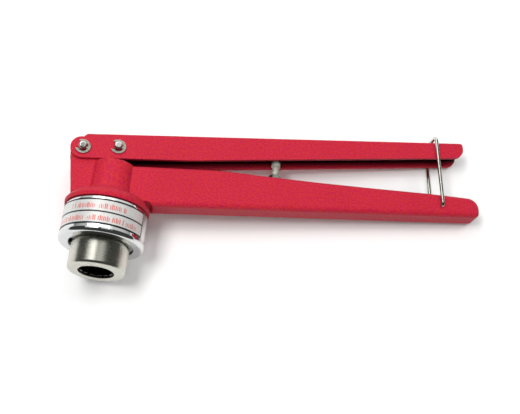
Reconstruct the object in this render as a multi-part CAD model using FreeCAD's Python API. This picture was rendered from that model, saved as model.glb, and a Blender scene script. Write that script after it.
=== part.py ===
"""Hand crimper for 20 mm vial caps: one STEP file for each piece.

The tool lies on its side.  X runs along the handles, Y along the crimping head
away from the vial, Z up.  The origin is the centre of the head's mouth, and the
tool is symmetric about the plane Z = 0.
"""
import FreeCAD, Part
import math
import os

Vector = FreeCAD.Vector

# ---- driving dimensions, millimetres and degrees ------------------------------------

# squeeze lever and fixed handle: bent and cast channels of one width
channel_width = 15.6
lever_sheet = 2.0
casting_wall = 2.6
half_width = channel_width / 2

# pivot pin (fixed) and drive pin (moves the plunger), along Z
pivot = (-20.4, 73.0)
drive = (0.0, 76.8)
pin_radius = 2.5
pin_half_length = 11.2
pin_dome = 1.1
pin_clearance = 0.05
pin_fit = 0.01
groove_slack = 0.05
clip_thickness = 0.8
clip_radius = 4.5
clip_band = 1.35
clip_lever_gap = 0.25
groove_depth = 0.55
clip_finger_width = 1.7
clip_finger_turns = (0, 128, -128)
clip_mouth_width = 5.0
clip_grip = 0.02

# lever, side outline
lever_end = (-20.8, 72.9)
lever_end_radius = 6.85
lever_top_start = (-18.6, 82.7)
lever_top_slope = 0.1745
lever_bottom_slope = 0.1634
lever_kink_x = 43.6
lever_kink_radius = 60.0
lever_tail_slope = 0.2086
lever_tip_x = 217.7
lever_tip_rake = 1.8
lever_tip_round = 7.0
lever_tip_corner = 2.6
lever_root_corner = 0.8
lever_closing = 4.0
lever_edge_radius = 1.8

# fixed body: column under the pivot, boss round the plunger, flange above the collar
column_foot = (-22.0, 42.0)
column_head = (-27.25, 71.0)
column_right = [(8.0, 42.0, 0), (8.0, 57.0, 0), (-8.6, 57.0, 0), (-8.6, 68.0, 4.0), (-15.5, 77.3, 0)]
column_half_width = 5.5
ear_radius = 6.9
shoulder_gap = 0.5
boss_radius = 13.0
boss_top = 67.1
boss_top_round = 1.2
boss_foot = (13.3, 47.4)
boss_flare = 6.0
flange_rim_radius = 24.7
flange_radius = 25.2
flange_bottom = 37.9
flange_shoulder = 40.2
flange_shoulder_round = 1.5
flange_crown = (22.6, 43.7)
flange_crown_round = 2.5
spigot_bottom = 29.6
thread_clearance = 0.1
relief = [(29.4, 30.0), (29.1, 38.0), (27.9, 41.2), (26.5, 43.6), (24.0, 45.6), (21.8, 45.2), (21.8, 42.7)]

# fixed handle, side outline
handle_floor_start = (27.4, 43.8)
handle_floor_slope = 0.1474
handle_ridge = [(11.5, 67.2), (62.2, 74.3), (118.5, 77.7), (157.0, 80.7), (196.6, 84.2)]
handle_ridge_end = (230.4, 86.3)
handle_ridge_root_slope = 0.138
handle_nose_radius = 7.5
handle_heel_radius = 3.0
handle_edge_radius = 3.1
handle_cavity_start = 25.5
handle_mouth_floor = 62.0
handle_mouth_depth = 6.0
handle_rib_x = (50.0, 150.0)
handle_rib_height = 9.0
handle_rib_thickness = 2.4
screw_boss_length = 11.0

# stop screw and its nut
stop_x = 97.5
stop_radius = 2.0
stop_head_radius = 2.8
stop_head_height = 3.6
stop_head_top = 89.5
stop_foot = 61.0
stop_nut_flats = 7.0
stop_nut_height = 3.2
stop_nut_chamfer_height = 3.4
stop_nut_chamfer = (1.3, -0.35)
stop_head_round = 1.1
stop_seat = 76.2
stop_clearance = 0.05
stop_travel = 4.2

# wire bail
bail_hole = (204.7, 76.4)
bail_top = (199.0, 123.7)
bail_wire_radius = 1.2
bail_leg_z = 9.5
bail_bend_radius = 2.8
bail_tail_z = 5.9
bail_foot_bend = 1.5
bail_clearance = 0.1

# collar, label and sleeve
collar_bottom = 15.7
collar_top = 37.5
collar_taper_start = 35.7
collar_taper_radius = 23.9
collar_radius = 24.4
collar_rim_radius = 24.9
collar_rim_top = 18.2
collar_flare_top = 20.2
collar_lip_top = 21.0
collar_hole_radius = 18.6
collar_bore_radius = 21.3
label_bottom = 20.4
label_top = 35.5
label_thickness = 0.15
label_span = 266.0
label_right_end = 62.0
sleeve_radius = 16.75
sleeve_bore_radius = 14.2
sleeve_floor = 1.3
sleeve_top = 28.0
sleeve_flange_radius = 20.9
sleeve_edge_radius = 1.6
mouth_radius = 10.5
snap_ring_bottom = 17.0
snap_ring_height = 1.2
snap_ring_radius = 18.2
snap_ring_opening = 24.0

# plunger, spring and pressure pad
rod_radius = 7.0
rod_clearance = 0.05
rod_guide_top = 66.0
rod_flats_clearance = 0.6
rod_top_centre = 74.6
rod_flat_start = 63.0
rod_slot_length = 0.4
rod_half_thickness = 5.2
rod_stud_radius = 5.0
rod_stud_bottom = 15.3
rod_shoulder = 24.0
spring_disc_radius = 11.6
spring_disc_bottom = 38.5
spring_disc_top = 40.5
spring_cavity_radius = 12.6
spring_cavity_top = 45.2
seat_thickness = 1.6
spring_radius = 9.6
spring_wire_radius = 0.7
spring_turns = 4
spring_arc_step = 45
wedge_slope = 0.565
wedge_foot_radius = 8.2
wedge_foot = 15.3
wedge_head_radius = 11.2
wedge_bore_clearance = 0.02
pad_radius = 8.0
pad_bottom = 10.5
pad_thickness = 2.0
pad_stem_radius = 3.0
pad_stem_top = 23.0
pad_nut_flats = 10.0
pad_nut_height = 2.4

# jaws
jaw_count = 8
jaw_gap = 1.3
jaw_bottom = 1.6
jaw_top = 20.9
jaw_tip_radius = 10.3
jaw_shank_inside = 11.4
jaw_outside = 13.7
fulcrum = (13.3, 12.5)
fulcrum_wire_radius = 0.8
fulcrum_groove_radius = 1.05
garter_wire_radius = 0.7
garter_height = 16.5
garter_radius = 13.35
nose = (11.65, 19.6)
nose_radius = 0.8


# ---- small helpers ------------------------------------------------------------------

def save(shape, node):
    """Write one piece, as a clean solid or group of solids."""
    os.makedirs("parts", exist_ok=True)
    shape = shape.removeSplitter()
    shape.exportStep("parts/" + node + ".step")
    print(node, len(shape.Solids), round(shape.Volume, 1), shape.isValid())


def corner_arc(before, corner, after, radius):
    """The two tangent points and the middle point of a rounded corner."""
    into = (before - corner).normalize()
    out = (after - corner).normalize()
    half = into.getAngle(out) / 2
    reach = radius / math.tan(half)
    bisector = (into + out).normalize()
    middle = corner + bisector * (radius / math.sin(half) - radius)
    return corner + into * reach, middle, corner + out * reach


def outline(corners):
    """A closed flat face in the XY plane from (x, y, corner radius) triples."""
    points = [Vector(c[0], c[1], 0) for c in corners]
    edges = []
    previous_end = None
    first_start = None
    for index, corner in enumerate(corners):
        here = points[index]
        radius = corner[2] if len(corner) > 2 else 0
        start, end = here, here
        arc = None
        if radius > 0:
            after = points[(index + 1) % len(points)]
            start, middle, end = corner_arc(points[index - 1], here, after, radius)
            arc = Part.Arc(start, middle, end).toShape()
        if previous_end is not None:
            edges.append(Part.LineSegment(previous_end, start).toShape())
        else:
            first_start = start
        if arc is not None:
            edges.append(arc)
        previous_end = end
    edges.append(Part.LineSegment(previous_end, first_start).toShape())
    return Part.Face(Part.Wire(edges))


def plate(corners, z_low, z_high):
    """A flat plate of an XY outline between two heights."""
    face = outline(corners)
    face.translate(Vector(0, 0, z_low))
    return face.extrude(Vector(0, 0, z_high - z_low))


def turned(profile):
    """A turned piece: the (radius, y) profile spun round the head axis."""
    return outline(profile).revolve(Vector(0, 0, 0), Vector(0, 1, 0), 360)


def upright(radius, y_low, y_high, x=0.0, z=0.0):
    """A round bar along Y."""
    return Part.makeCylinder(radius, y_high - y_low, Vector(x, y_low, z), Vector(0, 1, 0))


def crossbar(radius, centre, z_low, z_high):
    """A round bar along Z."""
    base = Vector(centre[0], centre[1], z_low)
    return Part.makeCylinder(radius, z_high - z_low, base, Vector(0, 0, 1))


def ring(major, minor, height):
    """A wire ring round the head axis."""
    return Part.makeTorus(major, minor, Vector(0, height, 0), Vector(0, 1, 0))


def hexagon(flats, y_low, y_high, x=0.0):
    """A hexagonal bar along Y."""
    circumradius = flats / math.sqrt(3)
    corners = []
    for side in range(7):
        angle = math.radians(60 * side)
        corners.append(Vector(x + circumradius * math.cos(angle), y_low,
                              circumradius * math.sin(angle)))
    face = Part.Face(Part.makePolygon(corners))
    return face.extrude(Vector(0, y_high - y_low, 0))


def rounded(solid, radius, wanted):
    """Fillet the edges that the test picks out by their ends."""
    picked = []
    for edge in solid.Edges:
        ends = [vertex.Point for vertex in edge.Vertexes]
        if len(ends) == 2 and wanted(ends[0], ends[1]):
            picked.append(edge)
    return solid.makeFillet(radius, picked)


def on_side(point):
    return abs(abs(point.z) - half_width) < 1e-4


# ---- lines of the two handles ---------------------------------------------------------

def lever_top(x):
    return lever_top_start[1] + lever_top_slope * (x - lever_top_start[0])


def lever_bottom(x):
    """The cheeks' lower edge: a line tangent to the round end, then a steeper one."""
    drop = lever_end_radius * math.sqrt(1 + lever_bottom_slope ** 2)
    if x <= lever_kink_x:
        return lever_end[1] - drop + lever_bottom_slope * (x - lever_end[0])
    return lever_bottom(lever_kink_x) + lever_tail_slope * (x - lever_kink_x)


def handle_floor(x):
    return handle_floor_start[1] + handle_floor_slope * (x - handle_floor_start[0])


# ---- squeeze lever and its pins ---------------------------------------------------------

def sheet_channel():
    """Long bent channel under the lever's top line, open downwards, to be cut to outline."""
    deep, far = 45.0, 320.0
    inside = half_width - lever_sheet
    profile = outline([
        (-half_width, -deep, 0), (-inside, -deep, 0),
        (-inside, -lever_sheet, lever_edge_radius - 1.0), (inside, -lever_sheet, lever_edge_radius - 1.0),
        (inside, -deep, 0), (half_width, -deep, 0),
        (half_width, 0, lever_edge_radius), (-half_width, 0, lever_edge_radius),
    ])
    angle = math.atan(lever_top_slope)
    along = Vector(math.cos(angle), math.sin(angle), 0)
    outward = Vector(-math.sin(angle), math.cos(angle), 0)
    turn = FreeCAD.Rotation(Vector(0, 0, -1), outward, along, "XYZ")
    start_x = -50.0
    profile.Placement = FreeCAD.Placement(Vector(start_x, lever_top(start_x), 0), turn)
    return profile.extrude(along * far)


def squeeze_lever():
    tangent_angle = math.atan(lever_bottom_slope)
    heel_x = lever_end[0] + lever_end_radius * math.sin(tangent_angle)
    tip_x = lever_tip_x + lever_tip_rake
    corners = [
        (heel_x, lever_bottom(heel_x), 0),
        (lever_kink_x, lever_bottom(lever_kink_x), lever_kink_radius),
        (tip_x, lever_bottom(tip_x), lever_tip_round),
        (lever_tip_x, lever_top(lever_tip_x), lever_tip_corner),
        (lever_top_start[0], lever_top_start[1], lever_root_corner),
        (lever_end[0], lever_end[1] + lever_end_radius, 0),
        (lever_end[0], lever_end[1], 0),
    ]
    side = plate(corners, -half_width, half_width)
    side = side.fuse(crossbar(lever_end_radius, lever_end, -half_width, half_width))
    body = side.common(sheet_channel())
    hole = pin_radius + pin_clearance
    for centre in (pivot, drive):
        body = body.cut(crossbar(hole, centre, -half_width - 1, half_width + 1))
    return body


def cheek_pin(centre):
    """A pin with domed ends and a groove for a clip near each end."""
    pin = crossbar(pin_radius, centre, -pin_half_length, pin_half_length)
    pin = pin.makeFillet(pin_dome, pin.Edges[0:1] + pin.Edges[2:3])
    groove_low = half_width + clip_lever_gap
    for side in (-1, 1):
        low = groove_low if side > 0 else -groove_low - clip_thickness
        high = low + clip_thickness + groove_slack
        low = low - groove_slack
        outer = crossbar(pin_radius + 1, centre, low, high)
        core = crossbar(pin_radius - groove_depth, centre, low, high)
        pin = pin.cut(outer.cut(core))
    return pin


def e_clip(centre, z_low, opening_angle):
    """A stamped E-clip: an open ring with three fingers that reach the pin's groove."""
    z_high = z_low + clip_thickness
    core = pin_radius - groove_depth + clip_grip
    clip = crossbar(clip_radius, centre, z_low, z_high)
    clip = clip.cut(crossbar(clip_radius - clip_band, centre, z_low, z_high))
    reach = clip_radius - clip_band / 2
    for turn in clip_finger_turns:
        angle = math.radians(opening_angle + 180 + turn)
        direction = Vector(math.cos(angle), math.sin(angle), 0)
        finger = Part.makeBox(reach - core, clip_finger_width, clip_thickness,
                              Vector(core, -clip_finger_width / 2, 0))
        finger.rotate(Vector(0, 0, 0), Vector(0, 0, 1), math.degrees(angle))
        finger.translate(Vector(centre[0], centre[1], z_low))
        clip = clip.fuse(finger)
        root = (centre[0] + direction.x * reach, centre[1] + direction.y * reach)
        clip = clip.fuse(crossbar(clip_finger_width / 2, root, z_low, z_high))
    mouth = Part.makeBox(clip_radius * 2, clip_mouth_width, clip_thickness,
                         Vector(core / 2, -clip_mouth_width / 2, 0))
    mouth.rotate(Vector(0, 0, 0), Vector(0, 0, 1), opening_angle)
    mouth.translate(Vector(centre[0], centre[1], z_low))
    clip = clip.cut(mouth)
    clip = clip.cut(crossbar(core, centre, z_low, z_high))
    return clip.removeSplitter()


def clip_pair(centre, opening_angle):
    low = half_width + clip_lever_gap
    upper = e_clip(centre, low, opening_angle)
    lower = e_clip(centre, -low - clip_thickness, opening_angle)
    return Part.makeCompound(upper.Solids + lower.Solids)


# ---- cast body ------------------------------------------------------------------------

def column_and_ear():
    """The flat column on the left, which rises between the lever's cheeks to the pivot."""
    corners = [(column_foot[0], column_foot[1], 0)] + column_right
    corners += [(pivot[0], pivot[1], 0), (column_head[0], column_head[1], 0)]
    column = plate(corners, -column_half_width, column_half_width)
    return column.fuse(crossbar(ear_radius, pivot, -column_half_width, column_half_width))


def lever_sweep():
    """Space over the boss for the lever's cheeks when the lever is closed."""
    closed_slope = lever_bottom_slope - math.radians(lever_closing)
    low_y = lever_end[1] - lever_end_radius - shoulder_gap
    left, right = -boss_radius - 1, boss_radius + 1
    return plate([(left, low_y + closed_slope * (left - lever_end[0]), 0),
                  (right, low_y + closed_slope * (right - lever_end[0]), 0),
                  (right, lever_end[1], 0), (left, lever_end[1], 0)], -boss_radius - 1, boss_radius + 1)


def boss_and_flange():
    """Round guide for the plunger on a domed flange, with the collar's spigot below."""
    spigot_radius = collar_bore_radius - thread_clearance
    guide = turned([
        (0, spigot_bottom, 0),
        (spigot_radius, spigot_bottom, 0.5),
        (spigot_radius, flange_bottom, 0),
        (flange_rim_radius, flange_bottom, 0.3),
        (flange_radius, flange_shoulder, flange_shoulder_round),
        (flange_crown[0], flange_crown[1], flange_crown_round),
        (boss_foot[0], boss_foot[1], boss_flare),
        (boss_radius, boss_top, boss_top_round),
        (0, boss_top, 0),
    ])
    return guide.cut(lever_sweep())


def handle_outline(inset):
    """Side outline of the fixed handle, or of its cavity when inset by the wall."""
    floor_inset = inset * math.sqrt(1 + handle_floor_slope ** 2)
    end_x = handle_ridge_end[0] - inset
    start_x = handle_cavity_start if inset else 0.0
    nose_radius_here = handle_nose_radius - inset
    corners = [(start_x, handle_floor(start_x) + floor_inset, 0)]
    corners.append((end_x, handle_floor(end_x) + floor_inset, max(handle_heel_radius - inset, 0.4)))
    corners.append((end_x, handle_ridge_end[1] - inset, nose_radius_here))
    for x, y in reversed(handle_ridge[1:]):
        corners.append((x, y, 0))
    drop = handle_ridge_root_slope * (handle_ridge[0][0] - start_x)
    corners.append((start_x, handle_ridge[0][1] - drop, 0))
    return corners


def cross_web(x, length, top, corner):
    """A web across the handle's channel, from its floor up to a height."""
    low = handle_floor(x) + 1
    side = half_width - casting_wall + 0.5
    return plate([(x - length / 2, low, 0), (x + length / 2, low, 0),
                  (x + length / 2, top, corner), (x - length / 2, top, corner)], -side, side)


def fixed_handle():
    """Channel open towards the lever, closed round the end, with a boss for the screw."""
    solid = plate(handle_outline(0), -half_width, half_width)

    def long_floor_edge(a, b):
        on_floor = abs(a.y - handle_floor(a.x)) < 0.05 and abs(b.y - handle_floor(b.x)) < 0.05
        return on_floor and abs(b.x - a.x) > 50 and on_side(a) and on_side(b)

    solid = rounded(solid, handle_edge_radius, long_floor_edge)
    inside = half_width - casting_wall
    cavity = plate(handle_outline(casting_wall), -inside, inside)
    far_x = handle_ridge_end[0] - handle_nose_radius
    above = handle_ridge_end[1] + 1
    mouth = [(handle_cavity_start, above, 0), (handle_cavity_start, handle_mouth_floor, 0)]
    mouth += [(x, y - handle_mouth_depth, 0) for x, y in handle_ridge[1:]]
    mouth += [(far_x, handle_ridge_end[1] - handle_mouth_depth, 0), (far_x, above, 0)]
    open_top = plate(mouth, -inside, inside)
    solid = solid.cut(cavity.fuse(open_top))
    solid = solid.fuse(cross_web(stop_x, screw_boss_length, stop_seat, 1.0))
    for rib_x in handle_rib_x:
        rib_top = handle_floor(rib_x) + handle_rib_height
        solid = solid.fuse(cross_web(rib_x, handle_rib_thickness, rib_top, 0))
    clearance = [(0, relief[0][1], 0)] + [(r, y, 0) for r, y in relief] + [(0, relief[-1][1], 0)]
    return solid.cut(turned(clearance))


def cast_body():
    body = boss_and_flange().fuse(column_and_ear()).fuse(fixed_handle())
    body = body.cut(upright(rod_radius + rod_clearance, 20, 95))
    body = body.cut(upright(spring_cavity_radius, 20, spring_cavity_top))
    # clearance round the rod's flats above the boss
    body = body.cut(upright(rod_radius + rod_flats_clearance, rod_guide_top, 95))
    body = body.cut(crossbar(pin_radius + pin_fit, pivot, -half_width - 1, half_width + 1))
    body = body.cut(crossbar(bail_wire_radius + bail_clearance, bail_hole, -half_width - 1, half_width + 1))
    body = body.cut(upright(stop_radius + stop_clearance, stop_foot - stop_travel, 90, stop_x))
    return body


# ---- stop screw, nut and bail -----------------------------------------------------------

def stop_screw():
    screw = upright(stop_radius, stop_foot, stop_head_top - stop_head_height, stop_x)
    head = upright(stop_head_radius, stop_head_top - stop_head_height, stop_head_top, stop_x)
    crown = [edge for edge in head.Edges if edge.CenterOfMass.y > stop_head_top - 0.01]
    head = head.makeFillet(stop_head_round, crown)
    return screw.fuse(head)


def stop_lock_nut():
    low, high = stop_seat, stop_seat + stop_nut_height
    nut = hexagon(stop_nut_flats, low, high, stop_x)
    corner_radius = stop_nut_flats / math.sqrt(3)
    turned_edge = Part.makeCone(corner_radius + stop_nut_chamfer[0],
                                corner_radius + stop_nut_chamfer[1], stop_nut_chamfer_height,
                                Vector(stop_x, high - stop_nut_chamfer_height, 0), Vector(0, 1, 0))
    nut = nut.common(turned_edge)
    return nut.cut(upright(stop_radius + stop_clearance, low - 1, high + 1, stop_x))


def wire_bail():
    """One bent wire: tail, leg, crossbar, leg, tail."""
    hole = Vector(bail_hole[0], bail_hole[1], 0)
    top = Vector(bail_top[0], bail_top[1], 0)
    up = Vector(0, 0, 1)
    stops = [
        hole + up * bail_tail_z,
        hole + up * bail_leg_z,
        top + up * bail_leg_z,
        top - up * bail_leg_z,
        hole - up * bail_leg_z,
        hole - up * bail_tail_z,
    ]
    bends = [0, bail_foot_bend, bail_bend_radius, bail_bend_radius, bail_foot_bend, 0]
    edges = []
    last = stops[0]
    for index in range(1, len(stops) - 1):
        start, middle, end = corner_arc(stops[index - 1], stops[index], stops[index + 1], bends[index])
        edges.append(Part.LineSegment(last, start).toShape())
        edges.append(Part.Arc(start, middle, end).toShape())
        last = end
    edges.append(Part.LineSegment(last, stops[-1]).toShape())
    path = Part.Wire(edges)
    section = Part.Wire(Part.makeCircle(bail_wire_radius, stops[0], up))
    return path.makePipeShell([section], True, False)


# ---- head: collar, label, sleeve and rings ------------------------------------------------

def screwed_collar():
    return turned([
        (collar_hole_radius, collar_bottom, 0.5),
        (collar_rim_radius, collar_bottom, 1.9),
        (collar_rim_radius, collar_rim_top, 1.0),
        (collar_radius, collar_flare_top, 0.8),
        (collar_radius, collar_taper_start, 1.5),
        (collar_taper_radius, collar_top, 0.5),
        (collar_bore_radius, collar_top, 0),
        (collar_bore_radius, collar_lip_top, 0),
        (collar_hole_radius, collar_lip_top, 0),
    ])


def size_label():
    """Thin band stuck round the collar, open at the back."""
    face = outline([
        (collar_radius, label_bottom, 0),
        (collar_radius + label_thickness, label_bottom, 0),
        (collar_radius + label_thickness, label_top, 0),
        (collar_radius, label_top, 0),
    ])
    # a turn about +Y takes +Z towards +X, so the band starts at its right-hand end
    face.rotate(Vector(0, 0, 0), Vector(0, 1, 0), label_right_end - 90)
    return face.revolve(Vector(0, 0, 0), Vector(0, 1, 0), -label_span)


def crimp_sleeve():
    groove = snap_ring_bottom - 0.05
    groove_top = snap_ring_bottom + snap_ring_height + 0.05
    return turned([
        (mouth_radius, 0, 0),
        (sleeve_radius, 0, sleeve_edge_radius),
        (sleeve_radius, groove, 0),
        (sleeve_radius - 0.75, groove, 0),
        (sleeve_radius - 0.75, groove_top, 0),
        (sleeve_radius, groove_top, 0),
        (sleeve_radius, collar_lip_top, 0),
        (sleeve_flange_radius, collar_lip_top, 0),
        (sleeve_flange_radius, sleeve_top, 0),
        (sleeve_bore_radius, sleeve_top, 0),
        (sleeve_bore_radius, sleeve_floor, 0),
        (mouth_radius, sleeve_floor, 0),
    ])


def snap_ring():
    """Open ring in the sleeve's groove, with a lug at each side of its opening."""
    inner = sleeve_radius - 0.7
    high = snap_ring_bottom + snap_ring_height
    band = upright(snap_ring_radius, snap_ring_bottom, high)
    band = band.cut(upright(inner, snap_ring_bottom, high))
    spread = math.tan(math.radians(snap_ring_opening / 2)) * 30
    wedge = Part.Face(Part.makePolygon([Vector(0, 0, 0), Vector(-30, 0, spread),
                                        Vector(-30, 0, -spread), Vector(0, 0, 0)]))
    wedge = wedge.extrude(Vector(0, 40, 0))
    return band.cut(wedge)


def spring_seat():
    low = sleeve_top
    high = sleeve_top + seat_thickness
    seat = upright(sleeve_flange_radius, low, high)
    return seat.cut(upright(rod_radius + 0.3, low, high))


def return_spring():
    """Round wire coiled in short arcs that rise from the seat to the rod's disc."""
    low = sleeve_top + seat_thickness + spring_wire_radius + 0.02
    high = spring_disc_bottom - spring_wire_radius - 0.02
    steps = spring_turns * 360 // spring_arc_step
    points = []
    for step in range(steps + 1):
        angle = math.radians(step * spring_arc_step)
        points.append(Vector(spring_radius * math.cos(angle), low + (high - low) * step / steps,
                             -spring_radius * math.sin(angle)))
    arcs = []
    for first in range(0, steps, 2):
        arcs.append(Part.Arc(points[first], points[first + 1], points[first + 2]).toShape())
    start = arcs[0].tangentAt(arcs[0].FirstParameter)
    section = Part.Wire(Part.makeCircle(spring_wire_radius, points[0], start))
    return Part.Wire(arcs).makePipeShell([section], True, False)


# ---- plunger ------------------------------------------------------------------------------

def plunger_rod():
    """Round rod with a flat tongue for the drive pin, a disc for the spring and a stud."""
    rod = upright(rod_radius, rod_shoulder, rod_top_centre + rod_radius)
    dome = crossbar(rod_radius, (0, rod_top_centre), -10, 10)
    shank = plate([(-9, 20, 0), (9, 20, 0), (9, rod_top_centre, 0), (-9, rod_top_centre, 0)], -10, 10)
    rod = rod.common(dome.fuse(shank))
    for side in (-1, 1):
        flat_low = rod_half_thickness if side > 0 else -10.0
        flat = plate([(-9, rod_flat_start, 0), (9, rod_flat_start, 0), (9, 90, 0), (-9, 90, 0)],
                     flat_low, flat_low + 10.0 - rod_half_thickness)
        rod = rod.cut(flat)
    rod = rod.fuse(upright(spring_disc_radius, spring_disc_bottom, spring_disc_top))
    rod = rod.fuse(upright(rod_stud_radius, rod_stud_bottom, rod_shoulder))
    rod = rod.cut(upright(pad_stem_radius + 0.05, rod_stud_bottom - 1, pad_stem_top + 2))
    slot_x = drive[0] + rod_slot_length
    hole = pin_radius + pin_clearance
    slot = crossbar(hole, drive, -10, 10).fuse(crossbar(hole, (slot_x, drive[1]), -10, 10))
    slot = slot.fuse(plate([(drive[0], drive[1] - hole, 0), (slot_x, drive[1] - hole, 0),
                            (slot_x, drive[1] + hole, 0), (drive[0], drive[1] + hole, 0)],
                           -10, 10))
    return rod.cut(slot)


def wedge_cone():
    """Cone on the plunger that spreads the jaws' upper arms."""
    head_height = wedge_foot + (wedge_head_radius - wedge_foot_radius) / wedge_slope
    bore = rod_stud_radius + wedge_bore_clearance
    return turned([
        (bore, wedge_foot, 0),
        (wedge_foot_radius, wedge_foot, 0),
        (wedge_head_radius, head_height, 0),
        (wedge_head_radius, rod_shoulder, 0.6),
        (bore, rod_shoulder, 0),
    ])


def pressure_pad():
    pad = upright(pad_radius, pad_bottom, pad_bottom + pad_thickness)
    pad = pad.makeFillet(0.6, pad.Edges[0:1] + pad.Edges[2:3])
    recess = hexagon(4.0, pad_bottom - 1, pad_bottom + 1.4)
    pad = pad.fuse(upright(pad_stem_radius, pad_bottom + 1, pad_stem_top))
    return pad.cut(recess)


def pad_lock_nut():
    high = rod_stud_bottom
    low = high - pad_nut_height
    nut = hexagon(pad_nut_flats, low, high)
    return nut.cut(upright(pad_stem_radius + 0.05, low - 1, high + 1))


# ---- jaws -----------------------------------------------------------------------------------

def jaw_ring():
    """All jaws as one turned ring, before it is cut into segments."""
    profile = [
        (jaw_tip_radius, jaw_bottom, 0.2),
        (jaw_outside, jaw_bottom, 0.5),
        (jaw_outside, 14.4, 0),
        (12.0, 15.2, 0),
        (12.0, garter_height + 1.3, 0),
        (12.8, garter_height + 1.9, 0),
        (12.8, jaw_top, 0.6),
        (nose[0] - nose_radius + 0.6, jaw_top, 0.5),
        (nose[0] - nose_radius + 0.6, nose[1] + 0.5, 0),
        (nose[0] - 0.05, nose[1] - 0.5, 0),
        (10.6, garter_height, 1.0),
        (jaw_shank_inside, 12.0, 1.0),
        (jaw_shank_inside, jaw_bottom + 2.4, 0.3),
        (jaw_tip_radius, jaw_bottom + 1.2, 0.2),
    ]
    body = turned(profile)
    body = body.fuse(ring(nose[0], nose_radius, nose[1]))
    return body.cut(ring(fulcrum[0], fulcrum_groove_radius, fulcrum[1]))


def segment_space(middle_angle):
    """Wedge of space for one jaw, its sides set in from the dividing planes."""
    half = math.radians(180 / jaw_count)
    reach = 30.0
    apex = jaw_gap / 2 / math.sin(half)
    spread = (reach - apex) * math.tan(half)
    corners = [Vector(apex, 0, 0), Vector(reach, 0, spread), Vector(reach, 0, -spread),
               Vector(apex, 0, 0)]
    wedge = Part.Face(Part.makePolygon(corners)).extrude(Vector(0, 30, 0))
    wedge.rotate(Vector(0, 0, 0), Vector(0, 1, 0), -middle_angle)
    return wedge


def jaws():
    """The jaws, one by one round the head, each tip parted into two teeth."""
    whole = jaw_ring()
    made = []
    for number in range(jaw_count):
        middle_angle = number * 360 / jaw_count
        jaw = whole.common(segment_space(middle_angle))
        notch = Part.makeBox(2.0, 3.4, 1.5, Vector(jaw_tip_radius - 1.2, jaw_bottom - 1, -0.75))
        notch.rotate(Vector(0, 0, 0), Vector(0, 1, 0), -middle_angle)
        made.append(jaw.cut(notch))
    return made


# ---- all pieces --------------------------------------------------------------------------------

save(cast_body(), "cast_body")
save(squeeze_lever(), "squeeze_lever")
save(cheek_pin(pivot), "pivot_pin")
save(clip_pair(pivot, 165), "pivot_pin_clips")
save(cheek_pin(drive), "drive_pin")
save(clip_pair(drive, 175), "drive_pin_clips")
save(stop_screw(), "stop_screw")
save(stop_lock_nut(), "stop_lock_nut")
save(wire_bail(), "wire_bail")
save(screwed_collar(), "collar")
save(size_label(), "size_label")
save(crimp_sleeve(), "crimp_sleeve")
save(snap_ring(), "snap_ring")
save(ring(fulcrum[0], fulcrum_wire_radius, fulcrum[1]), "fulcrum_ring")
save(ring(garter_radius, garter_wire_radius, garter_height), "garter_ring")
save(spring_seat(), "spring_seat")
save(return_spring(), "return_spring")
save(plunger_rod(), "plunger_rod")
save(wedge_cone(), "wedge_cone")
save(pressure_pad(), "pressure_pad")
save(pad_lock_nut(), "pad_lock_nut")
for position, piece in enumerate(jaws(), start=1):
    save(piece, "jaw_" + str(position))
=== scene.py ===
"""Looks of the hand crimper for vial caps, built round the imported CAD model.

Metres, in the model's frame: X along the handles, Y along the crimping head away
from the vial, Z up.  The origin is the centre of the head's mouth.
"""

import math

import bmesh
import bpy
from mathutils import Matrix, Vector


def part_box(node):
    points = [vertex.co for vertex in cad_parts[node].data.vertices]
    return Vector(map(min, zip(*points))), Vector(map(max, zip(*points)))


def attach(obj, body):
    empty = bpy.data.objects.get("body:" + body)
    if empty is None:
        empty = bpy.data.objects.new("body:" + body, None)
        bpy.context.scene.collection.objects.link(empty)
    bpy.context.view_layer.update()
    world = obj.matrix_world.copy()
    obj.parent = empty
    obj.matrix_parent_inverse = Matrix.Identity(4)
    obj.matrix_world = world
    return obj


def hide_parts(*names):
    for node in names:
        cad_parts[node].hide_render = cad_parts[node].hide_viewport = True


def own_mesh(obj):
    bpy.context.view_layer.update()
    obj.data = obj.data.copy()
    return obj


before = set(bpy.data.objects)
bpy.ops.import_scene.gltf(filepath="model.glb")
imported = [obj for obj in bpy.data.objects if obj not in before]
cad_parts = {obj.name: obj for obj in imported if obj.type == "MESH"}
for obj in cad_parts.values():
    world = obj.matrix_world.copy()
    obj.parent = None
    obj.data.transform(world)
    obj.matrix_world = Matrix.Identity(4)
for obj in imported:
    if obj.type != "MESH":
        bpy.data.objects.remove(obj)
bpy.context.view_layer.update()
MM = 0.001


# ---- nodes ------------------------------------------------------------------------------

def add(tree, kind, settings=None, inputs=None):
    """One node; inputs maps socket names or numbers to a value or to another node's socket."""
    node = tree.nodes.new(kind)
    for key, value in (settings or {}).items():
        setattr(node, key, value)
    for key, value in (inputs or {}).items():
        if isinstance(value, bpy.types.NodeSocket):
            tree.links.new(value, node.inputs[key])
        else:
            node.inputs[key].default_value = value
    return node


def maths(tree, operation, first, second=0.0):
    node = add(tree, "ShaderNodeMath", {"operation": operation}, {0: first, 1: second})
    return node.outputs[0]


def noise(tree, where, scale, detail=2.0, roughness=0.5):
    node = add(tree, "ShaderNodeTexNoise", None,
               {"Vector": where, "Scale": scale, "Detail": detail, "Roughness": roughness})
    return node.outputs["Fac"]


def remap(tree, value, low, high, to_low, to_high):
    node = add(tree, "ShaderNodeMapRange", None,
               {0: value, 1: low, 2: high, 3: to_low, 4: to_high})
    return node.outputs[0]


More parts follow.
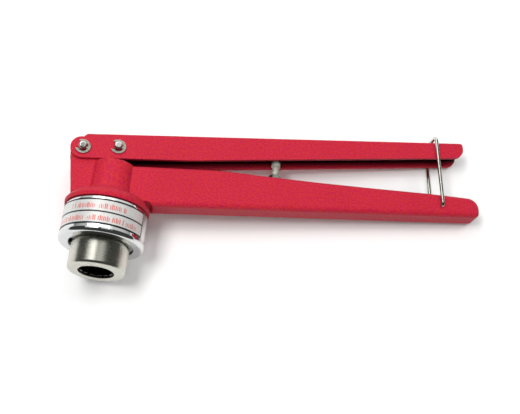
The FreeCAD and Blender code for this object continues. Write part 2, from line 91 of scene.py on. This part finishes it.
def mix_colour(tree, factor, first, second, blend="MIX"):
    node = add(tree, "ShaderNodeMix", {"data_type": "RGBA", "blend_type": blend},
               {"Factor": factor})
    for socket, value in ((node.inputs[6], first), (node.inputs[7], second)):
        if isinstance(value, bpy.types.NodeSocket):
            tree.links.new(value, socket)
        else:
            socket.default_value = (*value, 1.0)
    return node.outputs[2]


def bump(tree, height, distance, strength=1.0, under=None):
    inputs = {"Height": height, "Distance": distance, "Strength": strength}
    if under is not None:
        inputs["Normal"] = under
    return add(tree, "ShaderNodeBump", None, inputs).outputs["Normal"]


def start(name, **sockets):
    """A new material, its tree, its shader and the object coordinates in metres."""
    made = bpy.data.materials.new(name)
    made.use_nodes = True
    tree = made.node_tree
    shader = tree.nodes["Principled BSDF"]
    for key, value in sockets.items():
        shader.inputs[key.replace("_", " ")].default_value = value
    where = add(tree, "ShaderNodeTexCoord").outputs["Object"]
    return made, tree, shader, where


def stretched(tree, where, factors):
    node = add(tree, "ShaderNodeVectorMath", {"operation": "MULTIPLY"}, {0: where, 1: factors})
    return node.outputs[0]


# ---- materials --------------------------------------------------------------------------

def channel_shade_mask(tree, where, side, line, slope, sign, soft):
    """Painted-shade mask: 1 deep inside a handle, between its sides and past a line, over a soft
    distance.
    """
    parts = add(tree, "ShaderNodeSeparateXYZ", None, {0: where})
    across = maths(tree, "ABSOLUTE", parts.outputs["Z"])
    between = maths(tree, "LESS_THAN", across, side * MM)
    run = maths(tree, "MULTIPLY", parts.outputs["X"], slope)
    level = maths(tree, "SUBTRACT", parts.outputs["Y"], run)
    depth = maths(tree, "MULTIPLY", maths(tree, "SUBTRACT", level, line * MM), sign)
    return maths(tree, "MULTIPLY", between, remap(tree, depth, 0.0, soft * MM, 0.0, 1.0))


def powder_coat_and_painted_shade(name, shade_lines, run):
    """Red powder coat with a fine grain, and painted shade that darkens a channel's inner faces
    along a run.
    """
    made, tree, shader, where = start(name, Specular_IOR_Level=0.18)
    fine = noise(tree, where, 900, 3.0, 0.65)
    grain = remap(tree, fine, 0.40, 0.60, 0.0, 1.0)
    colour = mix_colour(tree, grain, (0.415, 0.0080, 0.053), (0.510, 0.028, 0.024))
    cloud = remap(tree, noise(tree, where, 45, 2.0), 0.35, 0.65, 0.0, 0.10)
    colour = mix_colour(tree, cloud, colour, (0.30, 0.006, 0.020))
    along = add(tree, "ShaderNodeSeparateXYZ", None, {0: where}).outputs["X"]
    inside = maths(tree, "MULTIPLY", maths(tree, "GREATER_THAN", along, run[0] * MM),
                   maths(tree, "LESS_THAN", along, run[1] * MM))
    for side, line, slope, sign, soft in shade_lines:
        channel_shade = channel_shade_mask(tree, where, side, line, slope, sign, soft)
        inside = maths(tree, "MULTIPLY", inside, channel_shade)
    # painted shade: the coat turns nearly black deep inside the channel, where shade falls
    colour = mix_colour(tree, inside, colour, (0.012, 0.0008, 0.003))
    tree.links.new(colour, shader.inputs["Base Color"])
    tree.links.new(remap(tree, noise(tree, where, 1300, 2.0), 0.3, 0.7, 0.44, 0.58),
                   shader.inputs["Roughness"])
    peel = bump(tree, noise(tree, where, 900, 2.0), 0.00005, 0.55)
    tree.links.new(bump(tree, noise(tree, where, 2600, 1.0), 0.00002, 0.4, peel),
                   shader.inputs["Normal"])
    return made


def polished(name, colour, roughness, smudge=0.05, ripple=0.15):
    """Plated or polished metal with faint handling marks."""
    made, tree, shader, where = start(name, Metallic=1.0)
    tint = remap(tree, noise(tree, where, 120, 3.0), 0.3, 0.7, 0.0, 1.0)
    darker = tuple(c * 0.90 for c in colour)
    tree.links.new(mix_colour(tree, tint, darker, colour), shader.inputs["Base Color"])
    marks = remap(tree, noise(tree, where, 320, 4.0, 0.65), 0.45, 0.75, roughness,
                  roughness + smudge)
    tree.links.new(marks, shader.inputs["Roughness"])
    tree.links.new(bump(tree, noise(tree, where, 260, 2.0), 0.00002, ripple),
                   shader.inputs["Normal"])
    return made


def turned_steel():
    """Lathe-turned steel: faint rings round the head's axis and short marks."""
    made, tree, shader, where = start("turned_steel", Metallic=1.0)
    rings = noise(tree, stretched(tree, where, (30.0, 9000.0, 30.0)), 1.0, 2.0, 0.6)
    marks = noise(tree, stretched(tree, where, (120.0, 1500.0, 120.0)), 1.0, 3.0, 0.6)
    tone = remap(tree, marks, 0.3, 0.7, 0.0, 1.0)
    tree.links.new(mix_colour(tree, tone, (0.555, 0.545, 0.48), (0.595, 0.585, 0.52)),
                   shader.inputs["Base Color"])
    tree.links.new(remap(tree, marks, 0.3, 0.7, 0.26, 0.31), shader.inputs["Roughness"])
    tree.links.new(bump(tree, rings, 0.000006, 0.4), shader.inputs["Normal"])
    return made


def jaw_steel():
    """Jaws kept nearly black as painted shade inside the mouth, with a painted highlight of
    bright metal on their tips at the mouth.
    """
    made, tree, shader, where = start("jaw_steel", Metallic=1.0)
    height = add(tree, "ShaderNodeSeparateXYZ", None, {0: where}).outputs["Y"]
    jaw_noise = noise(tree, where, 900, 3.0, 0.6)
    # painted highlight: the jaws' last two millimetres at the mouth are bright metal
    edge = remap(tree, jaw_noise, 0.3, 0.7, 0.0017, 0.0023)
    bright = maths(tree, "LESS_THAN", height, edge)
    shade = remap(tree, jaw_noise, 0.3, 0.7, 0.0, 1.0)
    # painted shade: the jaws are nearly black so the inside of the mouth stays dark
    painted_shade_black = mix_colour(tree, shade, (0.012, 0.012, 0.013), (0.030, 0.030, 0.030))
    tree.links.new(mix_colour(tree, bright, painted_shade_black, (0.62, 0.61, 0.56)),
                   shader.inputs["Base Color"])
    tree.links.new(remap(tree, shade, 0.0, 1.0, 0.34, 0.46), shader.inputs["Roughness"])
    tree.links.new(bump(tree, jaw_noise, 0.00001, 0.3), shader.inputs["Normal"])
    return made


def worked_steel(name, colour, roughness, scale=700.0, metallic=1.0):
    """Zinc, tool steel or wire: a little uneven in tone and gloss."""
    made, tree, shader, where = start(name, Metallic=metallic)
    blotch = remap(tree, noise(tree, where, scale * 0.4, 3.0, 0.6), 0.3, 0.7, 0.0, 1.0)
    darker = tuple(c * 0.72 for c in colour)
    tree.links.new(mix_colour(tree, blotch, darker, colour), shader.inputs["Base Color"])
    tree.links.new(remap(tree, noise(tree, where, scale, 3.0), 0.3, 0.7, roughness * 0.8,
                         roughness * 1.3), shader.inputs["Roughness"])
    tree.links.new(bump(tree, noise(tree, where, scale * 1.7, 2.0), 0.00002, 0.3),
                   shader.inputs["Normal"])
    return made


def black_rubber():
    made, tree, shader, where = start("black_rubber")
    shade = remap(tree, noise(tree, where, 800, 2.0), 0.3, 0.7, 0.0, 1.0)
    tree.links.new(mix_colour(tree, shade, (0.012, 0.012, 0.013), (0.03, 0.03, 0.03)),
                   shader.inputs["Base Color"])
    tree.links.new(remap(tree, noise(tree, where, 1500, 2.0), 0.3, 0.7, 0.5, 0.7),
                   shader.inputs["Roughness"])
    tree.links.new(bump(tree, noise(tree, where, 1800, 2.0), 0.00002, 0.4),
                   shader.inputs["Normal"])
    return made


def band(tree, value, low, high, soft):
    """1 where the value lies between two limits, 0 outside."""
    rise = remap(tree, value, low - soft, low + soft, 0.0, 1.0)
    fall = remap(tree, value, high - soft, high + soft, 1.0, 0.0)
    return maths(tree, "MULTIPLY", rise, fall)


def printed_label():
    """Silver label: thin black frame lines and two rows of plain red marks."""
    made, tree, shader, where = start("printed_label", Metallic=0.35)
    parts = add(tree, "ShaderNodeSeparateXYZ", None, {0: where})
    angle = maths(tree, "ARCTAN2", parts.outputs["X"], parts.outputs["Z"])
    degrees = maths(tree, "MULTIPLY", angle, 180 / math.pi)
    height = maths(tree, "MULTIPLY", parts.outputs["Y"], 1000.0)
    low, high = (corner.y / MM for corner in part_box("size_label"))
    middle = (low + high) / 2
    half_line, line_inset, blur = 0.44, 0.38, 0.05
    frame_end, upright_width, blur_degrees = 61.4, 2.2, 0.1

    lines = None
    for level in (high - line_inset, middle - 0.15, low + line_inset):
        line = band(tree, height, level - half_line, level + half_line, blur)
        lines = line if lines is None else maths(tree, "MAXIMUM", lines, line)
    lines = maths(tree, "MULTIPLY", lines, band(tree, degrees, -200.0, frame_end, blur_degrees))
    upright = band(tree, degrees, frame_end - upright_width, frame_end, blur_degrees)
    upright = maths(tree, "MULTIPLY", upright, band(tree, height, low + 0.1, high - 0.1, blur))
    lines = maths(tree, "MAXIMUM", lines, upright)

    # each row is cut into cells; a cell holds one mark of random width and height, or none
    cells_per_degree = 0.42
    rows = None
    for base, left, right, seed in ((middle + 1.7, -50.0, 28.0, 3.1),
                                    (low + 1.8, -86.0, 47.0, 8.7)):
        cell = maths(tree, "MULTIPLY", degrees, cells_per_degree)
        cell = maths(tree, "ADD", cell, seed)
        number = maths(tree, "FLOOR", cell)
        share = maths(tree, "FRACT", cell)
        chance = add(tree, "ShaderNodeTexWhiteNoise", {"noise_dimensions": "1D"},
                     {"W": number}).outputs["Value"]
        width = remap(tree, chance, 0.0, 1.0, 0.30, 0.78)
        tall = remap(tree, chance, 0.0, 1.0, 1.9, 3.3)
        inside = maths(tree, "LESS_THAN", share, width)
        inside = maths(tree, "MULTIPLY", inside, maths(tree, "GREATER_THAN", chance, 0.12))
        level = maths(tree, "SUBTRACT", height, base)
        inside = maths(tree, "MULTIPLY", inside, maths(tree, "GREATER_THAN", level, 0.0))
        inside = maths(tree, "MULTIPLY", inside, maths(tree, "LESS_THAN", level, tall))
        inside = maths(tree, "MULTIPLY", inside, band(tree, degrees, left, right, blur_degrees))
        rows = inside if rows is None else maths(tree, "MAXIMUM", rows, inside)

    foil = remap(tree, noise(tree, where, 900, 3.0), 0.3, 0.7, 0.0, 1.0)
    colour = mix_colour(tree, foil, (0.62, 0.62, 0.60), (0.72, 0.72, 0.70))
    colour = mix_colour(tree, maths(tree, "MULTIPLY", rows, 0.8), colour, (0.72, 0.08, 0.06))
    colour = mix_colour(tree, lines, colour, (0.015, 0.017, 0.015))
    tree.links.new(colour, shader.inputs["Base Color"])
    tree.links.new(remap(tree, foil, 0.0, 1.0, 0.36, 0.46), shader.inputs["Roughness"])
    tree.links.new(bump(tree, noise(tree, where, 500, 2.0), 0.00002, 0.2),
                   shader.inputs["Normal"])
    return made


def paper():
    made, tree, shader, where = start("pale_table", Roughness=0.8)
    shade = remap(tree, noise(tree, where, 9, 3.0), 0.3, 0.7, 0.0, 1.0)
    tree.links.new(mix_colour(tree, shade, (0.86, 0.86, 0.85), (0.88, 0.88, 0.88)),
                   shader.inputs["Base Color"])
    tree.links.new(bump(tree, noise(tree, where, 400, 2.0), 0.0002, 0.1),
                   shader.inputs["Normal"])
    return made


# each line of painted shade: half the inner width, height at X = 0 and slope of a line, the side
# of it that counts as inside, and the distance over which the painted shade deepens
LEVER_PAINTED_SHADE = ((5.85, 85.0, 0.1745, -1.0, 0.3), (5.85, 67.7, 0.2086, 1.0, 4.0))
BODY_PAINTED_SHADE = ((5.25, 40.6, 0.1474, 1.0, 0.3), (5.25, 75.5, 0.052, -1.0, 5.0))
# the painted shade's lengths along X: the lever's channel is open at both ends, the body's
# ends before its rounded nose
NOSE_RADIUS = 7.5
LEVER_SHADE_RUN = (-40.0, 240.0)
BODY_SHADE_RUN = (25.0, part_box("cast_body")[1].x / MM - NOSE_RADIUS)
lever_red = powder_coat_and_painted_shade("red_powder_coat_and_painted_shade_lever", LEVER_PAINTED_SHADE, LEVER_SHADE_RUN)
body_red = powder_coat_and_painted_shade("red_powder_coat_and_painted_shade_body", BODY_PAINTED_SHADE, BODY_SHADE_RUN)
chrome = polished("bright_chrome", (0.70, 0.71, 0.71), 0.045)
steel = turned_steel()
pin_steel = polished("polished_pin", (0.70, 0.71, 0.66), 0.10, 0.14, 0.9)
zinc = worked_steel("zinc_plate", (0.54, 0.56, 0.48), 0.28)
nut_zinc = worked_steel("dull_zinc", (0.40, 0.44, 0.38), 0.36)
# painted sheen: a brighter, partly diffuse copy of the zinc that stands in for the screw's
# highlights
screw_zinc_painted_sheen = worked_steel("screw_zinc_painted_sheen", (0.78, 0.79, 0.70), 0.26, metallic=0.45)
spring_wire = worked_steel("spring_steel", (0.42, 0.42, 0.40), 0.28)
# painted shade: a dark steel for the pressure pad and wedge cone deep inside the head
tool_steel = worked_steel("tool_steel", (0.13, 0.13, 0.13), 0.40)
jaw_finish = jaw_steel()
bail_wire = worked_steel("bail_wire", (0.72, 0.73, 0.66), 0.17, 900.0)
rubber = black_rubber()
label = printed_label()

FINISHES = {
    "cast_body": body_red, "squeeze_lever": lever_red, "collar": chrome, "size_label": label,
    "crimp_sleeve": steel, "snap_ring": spring_wire, "fulcrum_ring": spring_wire,
    "garter_ring": rubber, "spring_seat": zinc, "return_spring": spring_wire,
    "pivot_pin": pin_steel, "drive_pin": pin_steel, "pivot_pin_clips": zinc,
    "drive_pin_clips": zinc, "stop_lock_nut": nut_zinc, "plunger_rod": pin_steel,
    "wedge_cone": tool_steel, "pad_lock_nut": nut_zinc, "pressure_pad": tool_steel,
    "stop_screw": screw_zinc_painted_sheen, "wire_bail": bail_wire,
}
for name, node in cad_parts.items():
    finish_material = FINISHES.get(name, jaw_finish)
    node.data.materials.clear()
    node.data.materials.append(finish_material)


# ---- pieces with finer shapes than the CAD ---------------------------------------------

def add_piece(name, mesh, material, body, replaced):
    piece = bpy.data.objects.new(name, mesh)
    bpy.context.scene.collection.objects.link(piece)
    mesh.materials.append(material)
    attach(piece, body)
    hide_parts(replaced)
    return piece


def lathe(rings, around, twist=None):
    """A closed mesh round +Y from (radius, y) rings.

    twist, where given, turns (radius, y, angle) into the radius used there.
    """
    shape = bmesh.new()
    loops = []
    for radius, y in rings:
        loop = []
        for step in range(around):
            angle = 2 * math.pi * step / around
            r = radius if twist is None else twist(radius, y, angle)
            loop.append(shape.verts.new((r * math.sin(angle), y, r * math.cos(angle))))
        loops.append(loop)
    for low, high in zip(loops, loops[1:]):
        for step in range(around):
            after = (step + 1) % around
            shape.faces.new((low[step], low[after], high[after], high[step]))
    shape.faces.new(list(reversed(loops[0])))
    shape.faces.new(loops[-1])
    bmesh.ops.recalc_face_normals(shape, faces=shape.faces)
    return shape


def threaded_stop_screw():
    low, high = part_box("stop_screw")
    axis = (low.x + high.x) / 2
    head_radius = (high.x - low.x) / 2
    head_height, crown_round = 3.6 * MM, 1.1 * MM
    head_low = high.y - head_height
    shank, root = 1.98 * MM, 1.62 * MM
    pitch, per_turn, around = 0.8 * MM, 8, 40
    turns = (head_low - 0.6 * MM - low.y) / pitch
    rings = [(root * 0.75, low.y)]
    for step in range(int(turns * per_turn)):
        rings.append((shank, low.y + 0.3 * MM + step * pitch / per_turn))
    neck = rings[-1][1]
    last_thread = neck

    def thread(radius, y, angle):
        if radius != shank or y > last_thread:
            return radius
        phase = ((y - low.y) / pitch - angle / (2 * math.pi)) % 1.0
        crest = 1.0 - abs(2 * phase - 1.0)
        return root + (shank - root) * min(1.0, crest * 1.35)

    rings += [(root, neck + 0.15 * MM), (root, head_low),
              (head_radius - 0.25 * MM, head_low), (head_radius, head_low + 0.25 * MM)]
    for step in range(7):
        angle = math.radians(15 * step)
        rings.append((head_radius - crown_round * (1 - math.cos(angle)),
                      high.y - crown_round * (1 - math.sin(angle))))
    # the drive recess in the head
    rings += [(1.35 * MM, high.y), (1.25 * MM, high.y - 0.1 * MM),
              (1.2 * MM, high.y - 1.5 * MM), (0.2 * MM, high.y - 1.9 * MM)]
    shape = lathe(rings, around, thread)
    bmesh.ops.translate(shape, verts=shape.verts, vec=(axis, 0, 0))
    mesh = bpy.data.meshes.new("stop_screw_threaded")
    shape.to_mesh(mesh)
    shape.free()
    mesh.shade_smooth()
    mesh.set_sharp_from_angle(angle=math.radians(38))
    return add_piece("stop_screw_threaded", mesh, screw_zinc_painted_sheen, "stop_screw", "stop_screw")


threaded_stop_screw()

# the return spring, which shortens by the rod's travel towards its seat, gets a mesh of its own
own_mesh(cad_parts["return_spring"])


# ---- stage, light and camera ------------------------------------------------------------

# the tool lies on the flange's rim and the handle's end, so the table is tilted to it
rest_slope_x = 0.0686
rest_slope_y = 0.004
rest_height = -25.27 * MM
rest_point_y = 29.0 * MM

floor_mesh = bpy.data.meshes.new("table_top")
table_half = 3.0
corners = []
for side_x, side_y in ((-1, -1), (1, -1), (1, 1), (-1, 1)):
    x, y = side_x * table_half, side_y * table_half
    corners.append((x, y, rest_height + rest_slope_x * x + rest_slope_y * (y - rest_point_y)))
floor_mesh.from_pydata(corners, [], [(0, 1, 2, 3)])
floor_mesh.materials.append(paper())
floor = bpy.data.objects.new("table_top", floor_mesh)
bpy.context.scene.collection.objects.link(floor)


def softbox(name, direction, distance, wide, tall, radiance, mirrored=True):
    """A soft rectangular lamp aimed at the head; radiance is the brightness of its face."""
    lamp = bpy.data.lights.new(name, "AREA")
    lamp.shape = "RECTANGLE"
    lamp.size, lamp.size_y = wide, tall
    lamp.energy = radiance * math.pi * wide * tall
    holder = bpy.data.objects.new(name, lamp)
    aim = Vector((0.06, 0.05, 0.0))
    away = Vector(direction).normalized()
    holder.location = aim + away * distance
    across = Vector((0.0, 1.0, 0.0)).cross(away).normalized()
    along = away.cross(across)
    holder.rotation_mode = "QUATERNION"
    holder.rotation_quaternion = Matrix((across, along, away)).transposed().to_quaternion()
    holder.visible_glossy = mirrored
    bpy.context.scene.collection.objects.link(holder)
    return holder


# four cards that the bright metal mirrors, then the three lamps that light the tool
softbox("left_softbox", (-0.50, 0.55, 0.79), 1.09, 0.66, 0.90, 1.0)
softbox("left_softbox_core", (-0.435, 0.55, 0.83), 1.07, 0.38, 0.80, 1.5)
softbox("top_softbox", (0.04, 0.55, 0.93), 1.09, 0.38, 0.90, 0.80)
softbox("right_softbox", (0.26, 0.55, 0.89), 1.09, 0.20, 0.90, 0.30)
softbox("key_lamp", (-0.44, -0.06, 0.90), 1.3, 0.40, 0.60, 16.3, mirrored=False)
softbox("front_lamp", (0.02, -0.45, 0.89), 1.3, 0.50, 0.50, 4.7, mirrored=False)
softbox("back_right_lamp", (0.45, 0.30, 0.84), 1.3, 0.45, 0.45, 7.3, mirrored=False)

world = bpy.data.worlds.new("studio")
bpy.context.scene.world = world
world.use_nodes = True
sky = world.node_tree
sky.nodes.clear()
ray = add(sky, "ShaderNodeLightPath")
direction = add(sky, "ShaderNodeTexCoord").outputs["Generated"]
backward = add(sky, "ShaderNodeSeparateXYZ", None, {0: direction}).outputs["Y"]
sweep = remap(sky, backward, 0.58, 0.84, 0.0, 1.0)
mirrored_room = mix_colour(sky, sweep, (0.055, 0.058, 0.055), (1.25, 1.25, 1.25))
room = mix_colour(sky, ray.outputs["Is Glossy Ray"], (0.09, 0.09, 0.09), mirrored_room)
seen = mix_colour(sky, ray.outputs["Is Camera Ray"], room, (1.0, 1.0, 1.0))
shine = add(sky, "ShaderNodeBackground", None, {"Color": seen, "Strength": 1.0})
add(sky, "ShaderNodeOutputWorld", None, {"Surface": shine.outputs[0]})

camera_data = bpy.data.cameras.new("camera")
camera = bpy.data.objects.new("camera", camera_data)
bpy.context.scene.collection.objects.link(camera)
bpy.context.scene.camera = camera
camera_data.sensor_width = 36.0
camera_data.lens = 60.93
camera_data.clip_start, camera_data.clip_end = 0.01, 20.0
camera_place = Vector((0.0107, -0.157, 0.4866))
looking = Vector((0.148, 0.399, -0.905)).normalized()
top = Vector((-0.169, 0.912, 0.374))
right = looking.cross(top).normalized()
top = right.cross(looking).normalized()
turn = Matrix((right, top, -looking)).transposed()
camera.matrix_world = Matrix.Translation(camera_place) @ turn.to_4x4()

bpy.context.scene.view_settings.view_transform = "Standard"
